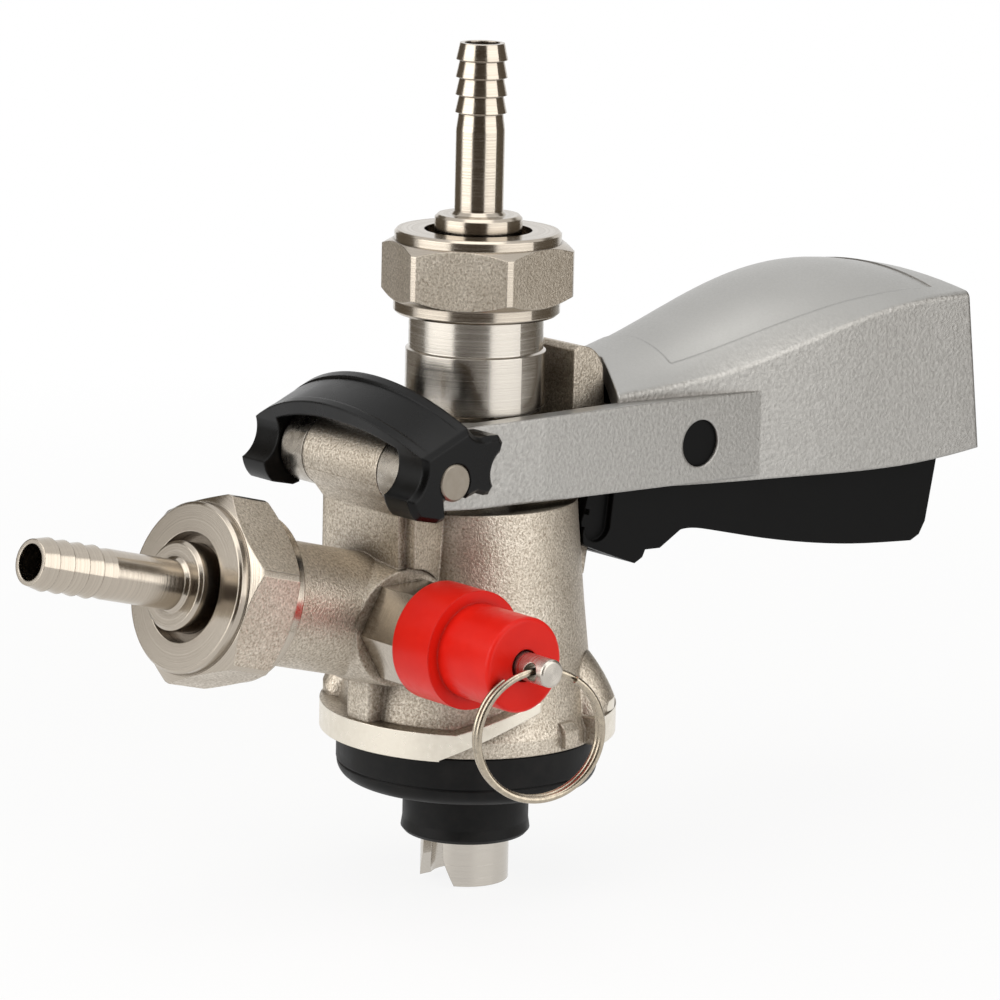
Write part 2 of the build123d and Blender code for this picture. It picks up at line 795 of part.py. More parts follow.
# Trigger lever: the black grip under the handle, with a nose above its pin that faces the post's tooth
with BuildPart() as trigger_lever:
    belly = [trigger_y + share * (lever_rear - trigger_y) for share in (0.11, 0.39, 0.64, 0.91)]
    with BuildSketch(along_x(-20)):
        with BuildLine():
            Polyline(
                (lever_front + 2.5, lever_chin + 7.6),
                (lever_front + 1.7, lever_chin + 4.3),
                (lever_front, lever_chin),
                (lever_front + 2.4, lever_chin - 1.1),
                (lever_front + 11.8, lever_belly + 2.9),
                (lever_front + 13.4, lever_belly + 3.7),
                (lever_front + 14.0, lever_belly + 4.9),
                (lever_front + 17.1, lever_belly + 4.8),
                (lever_front + 19.0, lever_belly + 5.9),
                (trigger_y - 0.2, lever_belly + 7.3),
            )
            Spline(
                (trigger_y - 0.2, lever_belly + 7.3),
                (belly[0], lever_belly + 6.6),
                (belly[1], lever_belly + 3.1),
                (belly[2], lever_belly + 1.0),
                (belly[3], lever_belly),
                tangents=((1, 0.15), (1, -0.05)),
            )
            Polyline(
                (belly[3], lever_belly),
                (lever_rear - 3.1, lever_belly + 0.9),
                (lever_rear - 1.9, lever_belly + 3.1),
                (lever_rear, lever_belly + 13.8),
                (lever_rear - 0.3, spring_floor - 1.9),
                (spring_y + 6, spring_floor),
                (spring_y - 6, spring_floor),
                (trigger_y + 6.3, trigger_z + 2.5),
                (trigger_y + 2.3, trigger_z + 5.2),
            )
            ThreePointArc(
                (trigger_y + 2.3, trigger_z + 5.2),
                (trigger_y - 1, trigger_z + 5.6),
                (trigger_y - 4.2, trigger_z + 2.7),
            )
            Polyline(
                (trigger_y - 4.2, trigger_z + 2.7),
                (lever_front + 10.4, trigger_z + 0.9),
                (lever_front + 10.4, trigger_z - 1.5),
                (lever_front + 13.9, lever_chin + 8.5),
                (lever_front + 2.5, lever_chin + 7.6),
            )
        make_face()
    extrude(amount=40)
    with BuildSketch(Plane.XY.offset(10)):
        for side in (-1, 1):
            with BuildLine():
                Polyline(
                    (0, 5),
                    (side * 10.6, 5),
                    (side * 10.8, 24),
                    (side * 11.4, 42),
                    (side * 12.2, 56),
                    (side * 15.8, lever_rear - 0.3),
                    (side * 15.8, lever_rear + 6),
                    (0, lever_rear + 6),
                    close=True,
                )
            make_face()
    extrude(amount=50, mode=Mode.INTERSECT)
    # The front hugs the barrel and straddles the latch post, clear of the tooth all the way round the hinge
    with BuildSketch(Plane.XZ):
        with BuildLine():
            Polyline(
                (0, 21),
                (18.2 + lever_gap, 21),
                (barrel_radius + lever_gap, 34),
                (barrel_radius + lever_gap - 0.3, barrel_top + 1),
                (0, barrel_top + 1),
                close=True,
            )
        make_face()
    revolve(axis=Axis.Z, mode=Mode.SUBTRACT)
    tooth_swing = ((post_rear + tooth_reach - hinge_y) ** 2 + (tooth_top - hinge_z) ** 2) ** 0.5
    with BuildSketch(along_x(-post_half - latch_gap, hinge_y, hinge_z)):
        Circle(tooth_swing + latch_gap)
    extrude(amount=2 * (post_half + latch_gap), mode=Mode.SUBTRACT)
    # Rounded scoop in each side of the front
    with BuildSketch(along_x(9.6)):
        with BuildLine():
            Polyline((15.0, 40.0), (15.6, 34.6))
            ThreePointArc((15.6, 34.6), (17.9, 29.8), (19.9, 31.6))
            Polyline((19.9, 31.6), (20.9, 40.0), (15.0, 40.0))
        make_face()
    scoop = extrude(amount=3, mode=Mode.PRIVATE)
    add(scoop, mode=Mode.SUBTRACT)
    add(mirror(scoop, about=Plane.YZ, mode=Mode.PRIVATE), mode=Mode.SUBTRACT)
    with BuildSketch(along_x(-20, trigger_y, trigger_z)):
        Circle(trigger_pin_radius + running_gap)
    extrude(amount=40, mode=Mode.SUBTRACT)

# Trigger pin, pressed into the arms and free in the lever
with BuildPart() as trigger_pin:
    with BuildSketch(along_x(-arm_outer + trigger_pin_recess, trigger_y, trigger_z)):
        Circle(trigger_pin_radius)
    extrude(amount=2 * (arm_outer - trigger_pin_recess))

# Relief valve: hexagon body screwed into the gas arm, red cap, spring, seal, pull pin and split ring
relief_plane = along_x(relief_hex_start, relief_y, relief_z)
with BuildPart() as relief_body:
    with BuildSketch(along_x(6.5, relief_y, relief_z)):
        Circle(5.0)
    extrude(amount=relief_hex_start - 6.5)
    with BuildSketch(relief_plane):
        RegularPolygon(radius=relief_hex_flats / 2, side_count=6, major_radius=False, rotation=0)
    extrude(amount=relief_hex_end - relief_hex_start)
    with BuildSketch(along_x(relief_hex_end, relief_y, relief_z)):
        Circle(6.5)
    extrude(amount=9)
    with BuildSketch(along_x(6, relief_y, relief_z)):
        Circle(2.0)
    extrude(amount=8, mode=Mode.SUBTRACT)
    with BuildSketch(along_x(relief_seat, relief_y, relief_z)):
        Circle(4.6)
    extrude(amount=20, mode=Mode.SUBTRACT)

with BuildPart() as relief_cap:
    with BuildSketch(along_x(relief_hex_end, relief_y, relief_z)):
        Circle(relief_cap_radius)
    extrude(amount=relief_cap_step - relief_hex_end)
    with BuildSketch(along_x(relief_cap_step, relief_y, relief_z)):
        Circle(relief_cap_nose_radius)
    extrude(amount=relief_cap_end - relief_cap_step)
    fillet(relief_cap.faces().sort_by(Axis.X)[-1].edges(), radius=0.7)
    with BuildSketch(along_x(relief_hex_end, relief_y, relief_z)):
        Circle(6.5)
    extrude(amount=9.5, mode=Mode.SUBTRACT)
    with BuildSketch(along_x(relief_hex_end, relief_y, relief_z)):
        Circle(4.8)
    extrude(amount=relief_cap_end - relief_hex_end - relief_cap_wall, mode=Mode.SUBTRACT)
    with BuildSketch(along_x(relief_hex_end, relief_y, relief_z)):
        Circle(pull_pin_radius + relief_clearance)
    extrude(amount=30, mode=Mode.SUBTRACT)

with BuildPart() as relief_seal:
    with BuildSketch(along_x(relief_seat + 0.02, relief_y, relief_z)):
        Circle(3.8)
    extrude(amount=1.2)

with BuildPart() as pull_pin:
    with BuildSketch(along_x(relief_seat + 1.22, relief_y, relief_z)):
        Circle(4.2)
    extrude(amount=1.6)
    with BuildSketch(along_x(relief_seat + 1.22, relief_y, relief_z)):
        Circle(pull_pin_radius)
    extrude(amount=pull_pin_end - relief_seat - 1.22)
    fillet(pull_pin.faces().sort_by(Axis.X)[-1].edges(), radius=0.5)
    with Locations((pull_hole_x, relief_y, relief_z)):
        Cylinder(pull_hole_radius, 8, rotation=(90, 0, 0), mode=Mode.SUBTRACT)


def coil_spring(seat, radius, wire, length, turns):
    """Open coil spring standing on its seat plane, with the wire touching both ends of its length."""
    pitch = (length - wire) / turns
    with BuildPart() as spring:
        with BuildLine() as path:
            Helix(
                pitch=pitch,
                height=length - wire,
                radius=radius,
                center=seat.offset(wire / 2).origin,
                direction=seat.z_dir,
            )
        with BuildSketch(Plane(origin=path.line @ 0, z_dir=path.line % 0)):
            Circle(wire / 2)
        sweep()
    return spring


disc_face = relief_seat + 2.82
relief_spring = coil_spring(
    along_x(disc_face, relief_y, relief_z), 3.3, 0.7, relief_cap_end - relief_cap_wall - disc_face, 8
)
trigger_spring = coil_spring(
    Plane(origin=(0, spring_y, spring_floor)), 3.2, 0.8, spring_ceiling - spring_floor, 6
)

# Split ring: a little under two turns of wire, with its single strand in the pull pin's cross hole
ring_radius = (ring_diameter - ring_wire) / 2
ring_pitch = ring_wire + 0.05
ring_height = ring_turns * ring_pitch
ring_normal = Vector(cos(radians(ring_yaw)), sin(radians(ring_yaw)), 0)
ring_half_turn = 180 * (2 - ring_turns)
ring_start = Vector(0, 0, 1).rotate(Axis((0, 0, 0), ring_normal), ring_half_turn)
ring_centre = Vector(pull_hole_x, relief_y, relief_z - ring_radius) - ring_normal * (ring_height / 2)
ring_frame = Plane(origin=ring_centre, x_dir=ring_start, z_dir=ring_normal)
with BuildPart() as split_ring:
    with BuildLine() as ring_path:
        ring_coil = Helix(pitch=ring_pitch, height=ring_height, radius=ring_radius, mode=Mode.PRIVATE)
        add(ring_frame.location * ring_coil)
    with BuildSketch(Plane(origin=ring_path.line @ 0, z_dir=ring_path.line % 0)):
        Circle(ring_wire / 2)
    sweep()

nodes = {
    "body_casting": body_casting,
    "bottom_washer": bottom_washer,
    "shaft_seals": shaft_seals,
    "gas_nut": gas_nut,
    "gas_gasket": gas_gasket,
    "gas_tail": gas_tail,
    "gas_check_valve": gas_check_valve,
    "relief_body": relief_body,
    "relief_cap": relief_cap,
    "relief_spring": relief_spring,
    "relief_seal": relief_seal,
    "pull_pin": pull_pin,
    "split_ring": split_ring,
    "probe": probe,
    "probe_seal": probe_seal,
    "check_ball": check_ball,
    "ball_cage": ball_cage,
    "beer_nut": beer_nut,
    "beer_gasket": beer_gasket,
    "beer_tail": beer_tail,
    "handle_casting": handle_casting,
    "hinge_pin": hinge_pin,
    "hinge_clip": hinge_clip,
    "drive_pins": drive_pins,
    "trigger_lever": trigger_lever,
    "trigger_pin": trigger_pin,
    "trigger_spring": trigger_spring,
}
for name, node in nodes.items():
    node.part.label = name
    export_step(node.part, f"parts/{name}.step")
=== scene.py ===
import bpy
import json
import math
from mathutils import Matrix, Vector


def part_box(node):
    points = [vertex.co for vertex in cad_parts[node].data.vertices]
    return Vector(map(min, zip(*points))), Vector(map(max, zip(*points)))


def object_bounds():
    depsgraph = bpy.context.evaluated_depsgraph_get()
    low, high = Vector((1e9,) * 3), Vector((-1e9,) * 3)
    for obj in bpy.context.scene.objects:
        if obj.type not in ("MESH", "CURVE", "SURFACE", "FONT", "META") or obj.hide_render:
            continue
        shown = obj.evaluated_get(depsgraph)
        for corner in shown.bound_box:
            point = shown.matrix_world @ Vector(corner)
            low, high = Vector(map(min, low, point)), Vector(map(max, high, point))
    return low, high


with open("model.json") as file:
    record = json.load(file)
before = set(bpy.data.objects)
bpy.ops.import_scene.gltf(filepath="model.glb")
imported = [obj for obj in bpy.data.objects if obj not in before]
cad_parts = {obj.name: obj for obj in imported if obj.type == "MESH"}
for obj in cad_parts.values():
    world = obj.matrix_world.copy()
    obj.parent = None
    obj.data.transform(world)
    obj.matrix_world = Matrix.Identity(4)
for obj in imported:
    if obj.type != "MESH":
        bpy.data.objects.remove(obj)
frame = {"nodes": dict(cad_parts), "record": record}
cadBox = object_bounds()
nodes = frame["nodes"]
print("frame loaded:", len(nodes), "nodes")

# The probe stands on Z. Both hose unions are alike, and the gas inlet's axis comes from its mount.
mounts = {m["name"]: m for m in frame["record"]["mounts"]}
gasAxis = Vector(mounts["gas_inlet"]["axis"]).normalized()
gasPoint = Vector(mounts["gas_inlet"]["pos_m"])
beerAxis = Vector((0, 0, 1))
beerPoint = Vector((0, 0, 0))
reliefAxis = Vector((1, 0, 0))


def middleOf(node):
    low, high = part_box(node)
    return (Vector(low) + Vector(high)) / 2


reliefPoint = middleOf("pull_pin")
hingePoint = middleOf("hinge_pin")
noiseSpread = {"From Min": 0.3, "From Max": 0.7}  # nearly all of a noise texture lies between these


def linear(hexColour):
    channels = [int(hexColour[i:i + 2], 16) / 255 for i in (1, 3, 5)]
    return [c / 12.92 if c <= 0.04045 else ((c + 0.055) / 1.055) ** 2.4 for c in channels] + [1.0]


def addNode(tree, kind, settings=None, wires=None):
    # A setting is an attribute of the node, or the name or number of one of its sockets
    node = tree.nodes.new(kind)
    for name, value in (settings or {}).items():
        if isinstance(name, str) and hasattr(node, name):
            setattr(node, name, value)
        else:
            node.inputs[name].default_value = value
    for socket, source in (wires or {}).items():
        tree.links.new(source, node.inputs[socket])
    return node


def perMetre(millimetres):
    return 1000 / millimetres  # scale of a pattern whose cells have this size


def newFinish(name, settings):
    finish = bpy.data.materials.new(name)
    finish.use_nodes = True
    tree = finish.node_tree
    tree.nodes.clear()
    shader = addNode(tree, "ShaderNodeBsdfPrincipled", settings)
    addNode(tree, "ShaderNodeOutputMaterial", wires={"Surface": shader.outputs[0]})
    return finish, tree, shader, addNode(tree, "ShaderNodeTexCoord")


def carve(tree, shader, layers, edgeMm):
    # Eases the edges by a small radius, then adds layers: a height from 0 to 1 and its depth in millimetres
    surface = addNode(tree, "ShaderNodeBevel", {"samples": 6, "Radius": edgeMm / 1000}).outputs["Normal"]
    for height, depthMm in layers:
        wires = {"Height": height, "Normal": surface}
        surface = addNode(tree, "ShaderNodeBump", {"Distance": depthMm / 1000}, wires).outputs["Normal"]
    tree.links.new(surface, shader.inputs["Normal"])


def paintCornerShade(tree, skin, cornerShadeHex, reachMm, depth):
    # Paints shade into the corners and the gaps between parts: where ambient occlusion finds surfaces close by,
    # the colour turns to the given dark tone
    hollow = addNode(tree, "ShaderNodeAmbientOcclusion", {"samples": 8, "Distance": reachMm / 1000})
    share = addNode(
        tree, "ShaderNodeMapRange", {"From Min": 0.25, "From Max": 0.8, "To Min": depth, "To Max": 0},
        {"Value": hollow.outputs["AO"]})
    cornerShaded = {"data_type": "RGBA", 7: linear(cornerShadeHex)}
    return addNode(tree, "ShaderNodeMix", cornerShaded, {0: share.outputs[0], 6: skin}).outputs[2]


def latheMarks(tree, coords, foot, axis, pitchMm):
    # Tool marks change along the axis and with the distance from it, never around it
    local = addNode(
        tree, "ShaderNodeMapping",
        {"vector_type": "TEXTURE", "Location": foot, "Rotation": axis.to_track_quat("Z", "Y").to_euler()},
        {"Vector": coords.outputs["Object"]}).outputs[0]
    flat = addNode(
        tree, "ShaderNodeVectorMath", {"operation": "MULTIPLY", 1: (1, 1, 0)}, {0: local}).outputs[0]
    radius = addNode(tree, "ShaderNodeVectorMath", {"operation": "LENGTH"}, {0: flat}).outputs["Value"]
    along = addNode(tree, "ShaderNodeSeparateXYZ", wires={0: local}).outputs["Z"]
    ringPlace = addNode(tree, "ShaderNodeCombineXYZ", wires={"X": radius, "Z": along}).outputs[0]
    return addNode(
        tree, "ShaderNodeTexNoise", {"Scale": perMetre(pitchMm), "Detail": 3, "Roughness": 0.7},
        {"Vector": ringPlace}).outputs["Fac"]


def grooveDirection(tree, coords, foot, axis):
    # The tangent runs around the axis, so a turned face spreads its highlights across the tool marks
    arm = addNode(
        tree, "ShaderNodeVectorMath", {"operation": "SUBTRACT", 1: foot},
        {0: coords.outputs["Object"]}).outputs[0]
    turn = addNode(
        tree, "ShaderNodeVectorMath", {"operation": "CROSS_PRODUCT", 0: axis}, {1: arm}).outputs[0]
    return addNode(
        tree, "ShaderNodeVectorTransform",
        {"vector_type": "VECTOR", "convert_from": "OBJECT", "convert_to": "WORLD"}, {0: turn}).outputs[0]


# Grit blasted nickel plate on a brass casting: a warm grey skin that sparkles, with darker pits and painted shade
# in the corners.
# The grit's dents are about 0.2 mm; they are drawn coarser, as they need to show.
castNickelLook = {
    "name": "blasted nickel on cast brass", "gritMm": 0.38, "depthMm": 0.12, "patchMm": 8,
    "light": "#e0d7c9", "dull": "#d0c6b7", "pit": "#857969", "pitShare": 0.9, "roughness": (0.5, 0.4),
    "cornerShade": "#3a2c1f", "cornerShadeMm": 6, "cornerShadeDepth": 0.9, "edgeMm": 0.5,
}
nutNickelLook = {
    **castNickelLook, "name": "blasted nickel on nut flats", "depthMm": 0.09, "cornerShadeMm": 2, "edgeMm": 0.3,
}


def blastedNickel(look):
    finish, tree, shader, coords = newFinish(look["name"], {"Metallic": 1.0})
    place = coords.outputs["Object"]
    grit = addNode(
        tree, "ShaderNodeTexNoise", {"Scale": perMetre(look["gritMm"]), "Detail": 2, "Roughness": 0.65},
        {"Vector": place}).outputs["Fac"]
    patches = addNode(
        tree, "ShaderNodeTexNoise", {"Scale": perMetre(look["patchMm"]), "Detail": 3},
        {"Vector": place}).outputs["Fac"]
    patchShare = addNode(
        tree, "ShaderNodeMapRange", {"From Min": 0.35, "From Max": 0.65}, {"Value": patches}).outputs[0]
    skin = addNode(
        tree, "ShaderNodeMix", {"data_type": "RGBA", 6: linear(look["dull"]), 7: linear(look["light"])},
        {0: patchShare}).outputs[2]
    pitShare = addNode(
        tree, "ShaderNodeMapRange",
        {"From Min": 0.25, "From Max": 0.7, "To Min": look["pitShare"], "To Max": 0},
        {"Value": grit}).outputs[0]
    pitted = addNode(
        tree, "ShaderNodeMix", {"data_type": "RGBA", 7: linear(look["pit"])}, {0: pitShare, 6: skin}).outputs[2]
    # Painted shade: darker brown where the corners and nearby parts close in
    cornerShaded = paintCornerShade(tree, pitted, look["cornerShade"], look["cornerShadeMm"], look["cornerShadeDepth"])
    tree.links.new(cornerShaded, shader.inputs["Base Color"])
    low, high = look["roughness"]
    gloss = addNode(
        tree, "ShaderNodeMapRange", {**noiseSpread, "To Min": low, "To Max": high}, {"Value": grit}).outputs[0]
    tree.links.new(gloss, shader.inputs["Roughness"])
    carve(tree, shader, [(grit, look["depthMm"])], look["edgeMm"])
    return finish


# Nickel plate on turned brass: mirror bright where it is buffed, with fine rings left by the lathe.
# The rings are about 0.1 mm apart; they are drawn coarser, as they need to show.
turnedNickelLook = {
    "light": "#c9c0b2", "dull": "#a0968a", "cornerShade": "#3b2a17", "cornerShadeMm": 2.5, "cornerShadeDepth": 0.85,
    "roughness": (0.26, 0.12), "ringMm": 0.3, "depthMm": 0.012, "edgeMm": 0.25,
}


def turnedNickel(name, foot, axis, look=turnedNickelLook):
    finish, tree, shader, coords = newFinish(
        name, {"Metallic": 1.0, "Anisotropic": 0.35, "Anisotropic Rotation": 0.25})
    tree.links.new(grooveDirection(tree, coords, foot, axis), shader.inputs["Tangent"])
    marks = latheMarks(tree, coords, foot, axis, look["ringMm"])
    skin = addNode(
        tree, "ShaderNodeMix", {"data_type": "RGBA", 6: linear(look["dull"]), 7: linear(look["light"])},
        {0: marks}).outputs[2]
    # Painted shade: dark brown in the corners and the gaps beside other parts
    cornerShaded = paintCornerShade(tree, skin, look["cornerShade"], look["cornerShadeMm"], look["cornerShadeDepth"])
    tree.links.new(cornerShaded, shader.inputs["Base Color"])
    low, high = look["roughness"]
    gloss = addNode(
        tree, "ShaderNodeMapRange", {**noiseSpread, "To Min": low, "To Max": high}, {"Value": marks}).outputs[0]
    tree.links.new(gloss, shader.inputs["Roughness"])
    carve(tree, shader, [(marks, look["depthMm"])], look["edgeMm"])
    return finish


# Stainless steel, finely turned: crisp upright bands of light, softened a little along the axis
probeSteelLook = {
    "name": "turned stainless steel", "colour": "#c4beb5", "roughness": (0.3, 0.16), "ringMm": 0.35,
    "depthMm": 0.01, "edgeMm": 0.2,
}
pullPinLook = {
    **probeSteelLook, "name": "turned aluminium pin", "colour": "#c2bcb3", "roughness": (0.36, 0.22),
}


def turnedSteel(look, foot, axis):
    finish, tree, shader, coords = newFinish(
        look["name"],
        {
            "Metallic": 1.0, "Base Color": linear(look["colour"]), "Anisotropic": 0.6,
            "Anisotropic Rotation": 0.25,
        })
    tree.links.new(grooveDirection(tree, coords, foot, axis), shader.inputs["Tangent"])
    marks = latheMarks(tree, coords, foot, axis, look["ringMm"])
    low, high = look["roughness"]
    gloss = addNode(
        tree, "ShaderNodeMapRange", {**noiseSpread, "To Min": low, "To Max": high}, {"Value": marks}).outputs[0]
    tree.links.new(gloss, shader.inputs["Roughness"])
    carve(tree, shader, [(marks, look["depthMm"])], look["edgeMm"])
    return finish


# Bead blasted aluminium casting: the sides keep a fine orange peel, the crown is rubbed to a soft satin
handleLook = {
    "name": "bead blasted aluminium", "peelMm": 0.6, "peelDepthMm": 0.075, "grainMm": 0.35, "grainDepthMm": 0.008,
    "patchMm": 14, "side": ("#8f8d89", "#c0beba"), "crown": ("#a9a8a5", "#b5b4b1"), "roughness": (0.48, 0.36),
    "crownFrom": 0.75, "sideFrom": 0.5, "crownPeel": 0.1, "cornerShade": "#4a4037", "cornerShadeMm": 5,
    "cornerShadeDepth": 0.8, "edgeMm": 0.6,
}


def satinAlloy(look):
    finish, tree, shader, coords = newFinish(look["name"], {"Metallic": 1.0})
    place = coords.outputs["Object"]
    up = addNode(tree, "ShaderNodeSeparateXYZ", wires={0: coords.outputs["Normal"]}).outputs["Z"]
    side = addNode(
        tree, "ShaderNodeMapRange",
        {"From Min": look["sideFrom"], "From Max": look["crownFrom"], "To Min": 1, "To Max": look["crownPeel"]},
        {"Value": up}).outputs[0]
    peel = addNode(
        tree, "ShaderNodeTexNoise", {"Scale": perMetre(look["peelMm"]), "Detail": 3},
        {"Vector": place}).outputs["Fac"]
    grain = addNode(
        tree, "ShaderNodeTexNoise", {"Scale": perMetre(look["grainMm"]), "Detail": 1},
        {"Vector": place}).outputs["Fac"]
    patches = addNode(
        tree, "ShaderNodeTexNoise", {"Scale": perMetre(look["patchMm"]), "Detail": 3},
        {"Vector": place}).outputs["Fac"]
    sidePeel = addNode(tree, "ShaderNodeMath", {"operation": "MULTIPLY"}, {0: peel, 1: side}).outputs[0]
    tones = []
    for (dull, light), pattern in ((look["crown"], patches), (look["side"], peel)):
        tone = addNode(
            tree, "ShaderNodeMix", {"data_type": "RGBA", 6: linear(dull), 7: linear(light)}, {0: pattern})
        tones.append(tone.outputs[2])
    skin = addNode(
        tree, "ShaderNodeMix", {"data_type": "RGBA"}, {0: side, 6: tones[0], 7: tones[1]}).outputs[2]
    # Painted shade: darker where the corners and nearby parts close in
    cornerShaded = paintCornerShade(tree, skin, look["cornerShade"], look["cornerShadeMm"], look["cornerShadeDepth"])
    tree.links.new(cornerShaded, shader.inputs["Base Color"])
    low, high = look["roughness"]
    gloss = addNode(
        tree, "ShaderNodeMapRange", {**noiseSpread, "To Min": low, "To Max": high}, {"Value": grain}).outputs[0]
    tree.links.new(gloss, shader.inputs["Roughness"])
    carve(tree, shader, [(sidePeel, look["peelDepthMm"]), (grain, look["grainDepthMm"])], look["edgeMm"])
    return finish


# Glass filled nylon, moulded: black, with a soft sheen and the faint grain of the mould
leverNylonLook = {
    "name": "moulded black nylon", "colour": "#080808", "level": 0.1, "roughness": (0.38, 0.48), "cloudMm": 6,
    "cloudDepthMm": 0.03, "grainMm": 0.4, "grainDepthMm": 0.006, "edgeMm": 0.5,
}
clipNylonLook = {
    **leverNylonLook, "name": "moulded black nylon, glossy", "colour": "#070707", "level": 0.17,
    "roughness": (0.24, 0.34),
}


def mouldedNylon(look):
    finish, tree, shader, coords = newFinish(
        look["name"], {"Base Color": linear(look["colour"]), "IOR": 1.53, "Specular IOR Level": look["level"]})
    place = coords.outputs["Object"]
    cloud = addNode(
        tree, "ShaderNodeTexNoise", {"Scale": perMetre(look["cloudMm"]), "Detail": 2},
        {"Vector": place}).outputs["Fac"]
    low, high = look["roughness"]
    gloss = addNode(
        tree, "ShaderNodeMapRange", {**noiseSpread, "To Min": low, "To Max": high}, {"Value": cloud}).outputs[0]
    tree.links.new(gloss, shader.inputs["Roughness"])
    grain = addNode(
        tree, "ShaderNodeTexNoise", {"Scale": perMetre(look["grainMm"]), "Detail": 1},
        {"Vector": place}).outputs["Fac"]
    carve(tree, shader, [(cloud, look["cloudDepthMm"]), (grain, look["grainDepthMm"])], look["edgeMm"])
    return finish


# Moulded nitrile rubber: black and dull, with a dusty bloom
rubberLook = {
    "name": "moulded nitrile rubber", "clean": "#0d0d0d", "dusty": "#1c1b1a", "bloomMm": 3,
    "roughness": (0.4, 0.55), "grainMm": 0.6, "grainDepthMm": 0.01, "edgeMm": 0.4,
}


def nitrileRubber(look):
    finish, tree, shader, coords = newFinish(look["name"], {"IOR": 1.52, "Specular IOR Level": 0.15})
    place = coords.outputs["Object"]
    bloom = addNode(
        tree, "ShaderNodeTexNoise", {"Scale": perMetre(look["bloomMm"]), "Detail": 4},
        {"Vector": place}).outputs["Fac"]
    dust = addNode(tree, "ShaderNodeMapRange", {"From Min": 0.4, "From Max": 0.8}, {"Value": bloom}).outputs[0]
    skin = addNode(
        tree, "ShaderNodeMix", {"data_type": "RGBA", 6: linear(look["clean"]), 7: linear(look["dusty"])},
        {0: dust}).outputs[2]
    tree.links.new(skin, shader.inputs["Base Color"])
    low, high = look["roughness"]
    gloss = addNode(
        tree, "ShaderNodeMapRange", {**noiseSpread, "To Min": low, "To Max": high}, {"Value": bloom}).outputs[0]
    tree.links.new(gloss, shader.inputs["Roughness"])
    grain = addNode(
        tree, "ShaderNodeTexNoise", {"Scale": perMetre(look["grainMm"]), "Detail": 1},
        {"Vector": place}).outputs["Fac"]
    carve(tree, shader, [(grain, look["grainDepthMm"])], look["edgeMm"])
    return finish


# Injection moulded ABS in signal red, with a satin gloss
redAbsLook = {
    "name": "moulded red ABS", "deep": "#cf160c", "bright": "#de2012", "toneMm": 4, "hazeMm": 1.2,
    "hazeDepthMm": 0.012, "roughness": (0.28, 0.4), "cornerShade": "#7c0d06", "cornerShadeMm": 2, "cornerShadeDepth": 0.7,
    "edgeMm": 0.35,
}


def mouldedAbs(look):
    finish, tree, shader, coords = newFinish(look["name"], {"IOR": 1.54, "Specular IOR Level": 0.17})
    place = coords.outputs["Object"]
    tone = addNode(
        tree, "ShaderNodeTexNoise", {"Scale": perMetre(look["toneMm"]), "Detail": 2},
        {"Vector": place}).outputs["Fac"]
    skin = addNode(
        tree, "ShaderNodeMix", {"data_type": "RGBA", 6: linear(look["deep"]), 7: linear(look["bright"])},
        {0: tone}).outputs[2]
    # Painted shade: deeper red in the corners and beside other parts
    cornerShaded = paintCornerShade(tree, skin, look["cornerShade"], look["cornerShadeMm"], look["cornerShadeDepth"])
    tree.links.new(cornerShaded, shader.inputs["Base Color"])
    haze = addNode(
        tree, "ShaderNodeTexNoise", {"Scale": perMetre(look["hazeMm"]), "Detail": 3},
        {"Vector": place}).outputs["Fac"]
    low, high = look["roughness"]
    gloss = addNode(
        tree, "ShaderNodeMapRange", {**noiseSpread, "To Min": low, "To Max": high}, {"Value": haze}).outputs[0]
    tree.links.new(gloss, shader.inputs["Roughness"])
    carve(tree, shader, [(haze, look["hazeDepthMm"])], look["edgeMm"])
    return finish


# Bright metal: drawn wire, ground pins and machined bands, with fine scratches that blur the light
eyeLook = {
    "name": "ground aluminium eyes", "light": "#cfc9bf", "dull": "#8d8478", "roughness": (0.2, 0.34),
    "hazeMm": 1.2, "scratchMm": 0.4, "depthMm": 0.008, "cornerShade": "#33271a", "cornerShadeMm": 1.5,
    "cornerShadeDepth": 0.8, "edgeMm": 0.2,
}
bandLook = {
    **eyeLook, "name": "machined nickel band", "light": "#efe8da", "dull": "#dfd7c8", "roughness": (0.26, 0.34),
}
wireLook = {
    **eyeLook, "name": "drawn steel wire", "light": "#c9bda8", "roughness": (0.18, 0.3), "hazeMm": 0.75,
    "scratchMm": 0.25,
}
pinLook = {**eyeLook, "name": "ground steel pin", "light": "#968f84", "roughness": (0.4, 0.52)}


def brightMetal(look):
    finish, tree, shader, coords = newFinish(look["name"], {"Metallic": 1.0})
    place = coords.outputs["Object"]
    haze = addNode(
        tree, "ShaderNodeTexNoise", {"Scale": perMetre(look["hazeMm"]), "Detail": 3},
        {"Vector": place}).outputs["Fac"]
    skin = addNode(
        tree, "ShaderNodeMix", {"data_type": "RGBA", 6: linear(look["light"]), 7: linear(look["dull"])},
        {0: haze}).outputs[2]
    # Painted shade: darker in the corners and the gaps beside other parts
    cornerShaded = paintCornerShade(tree, skin, look["cornerShade"], look["cornerShadeMm"], look["cornerShadeDepth"])
    tree.links.new(cornerShaded, shader.inputs["Base Color"])
    low, high = look["roughness"]
    gloss = addNode(
        tree, "ShaderNodeMapRange", {**noiseSpread, "To Min": low, "To Max": high}, {"Value": haze}).outputs[0]
    tree.links.new(gloss, shader.inputs["Roughness"])
    scratches = addNode(
        tree, "ShaderNodeTexNoise", {"Scale": perMetre(look["scratchMm"]), "Detail": 2},
        {"Vector": place}).outputs["Fac"]
    carve(tree, shader, [(scratches, look["depthMm"])], look["edgeMm"])
    return finish


# Acetal ball, turned and tumbled smooth: milky white with an even gloss
acetalLook = {"name": "moulded acetal", "colour": "#e8e6df", "hazeMm": 1, "roughness": (0.2, 0.3)}


